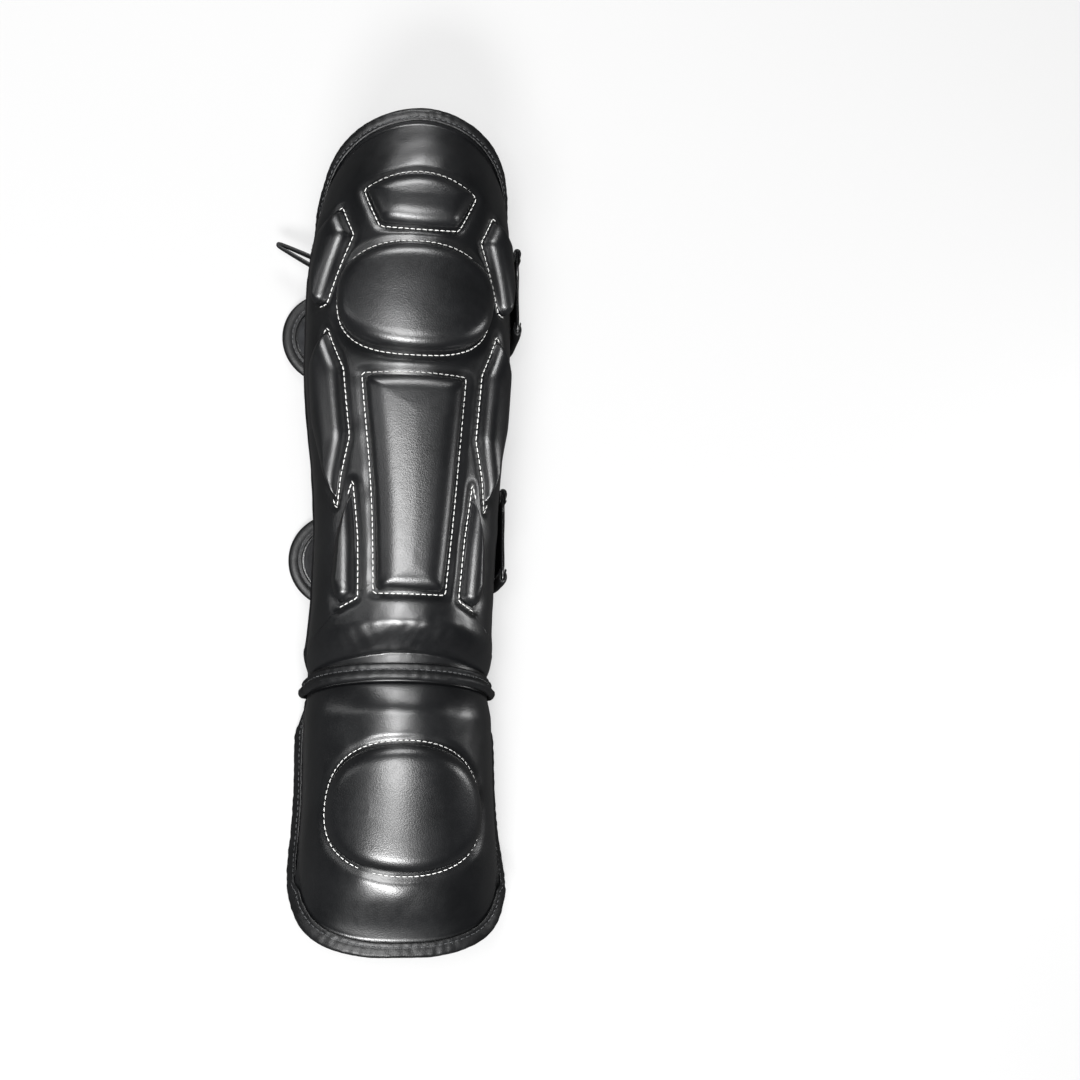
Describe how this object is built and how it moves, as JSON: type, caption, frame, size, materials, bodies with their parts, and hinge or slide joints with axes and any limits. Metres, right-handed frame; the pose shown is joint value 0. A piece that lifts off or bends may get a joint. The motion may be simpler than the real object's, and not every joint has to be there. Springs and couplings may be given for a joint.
{
  "type": "shin and instep guard",
  "caption": "Padded leather shin and instep guard with raised pads, folded tabs, hook-and-loop straps and elastic foot bands.",
  "frame": {"origin": "middle of the guard's footprint on the floor it lies on", "axes": "+Y from the toe end to the knee end, +Z from the floor to the front of the guard, +X to the viewer's right with the front up"},
  "size_m": [0.13, 0.4268, 0.0971],
  "materials": {
    "leather": "satin black synthetic leather with a fine grain",
    "edge_tape": "satin black folded tape",
    "strap_leather": "smooth satin black synthetic leather",
    "lining": "smooth black nylon lining",
    "elastic": "ribbed matt black woven elastic",
    "hook_and_loop": "rough matt black hook-and-loop tape"
  },
  "bodies": {
    "root": {"shin_shell": "leather", "instep_shell": "leather", "top_pad": "leather", "knee_pad": "leather", "shin_bar_pad": "leather", "upper_side_pad_right": "leather", "upper_side_pad_left": "leather", "middle_side_pad_right": "leather", "middle_side_pad_left": "leather", "lower_side_pad_right": "leather", "lower_side_pad_left": "leather", "instep_pad": "leather", "upper_root_tab": "leather", "upper_tip_tab": "leather", "lower_root_tab": "leather", "lower_tip_tab": "leather", "shin_binding": "edge_tape", "instep_binding": "edge_tape", "ankle_band": "edge_tape", "upper_strap_binding": "edge_tape", "lower_strap_binding": "edge_tape", "hang_loop": "edge_tape", "upper_strap": "strap_leather", "lower_strap": "strap_leather", "shin_lining": "lining", "instep_lining": "lining", "ankle_elastic": "elastic", "foot_elastic": "elastic", "upper_strap_hook_patch": "hook_and_loop", "lower_strap_hook_patch": "hook_and_loop", "upper_root_tab_loop_patch": "hook_and_loop", "upper_tip_tab_loop_patch": "hook_and_loop", "lower_root_tab_loop_patch": "hook_and_loop", "lower_tip_tab_loop_patch": "hook_and_loop"}
  },
  "joints": []
}
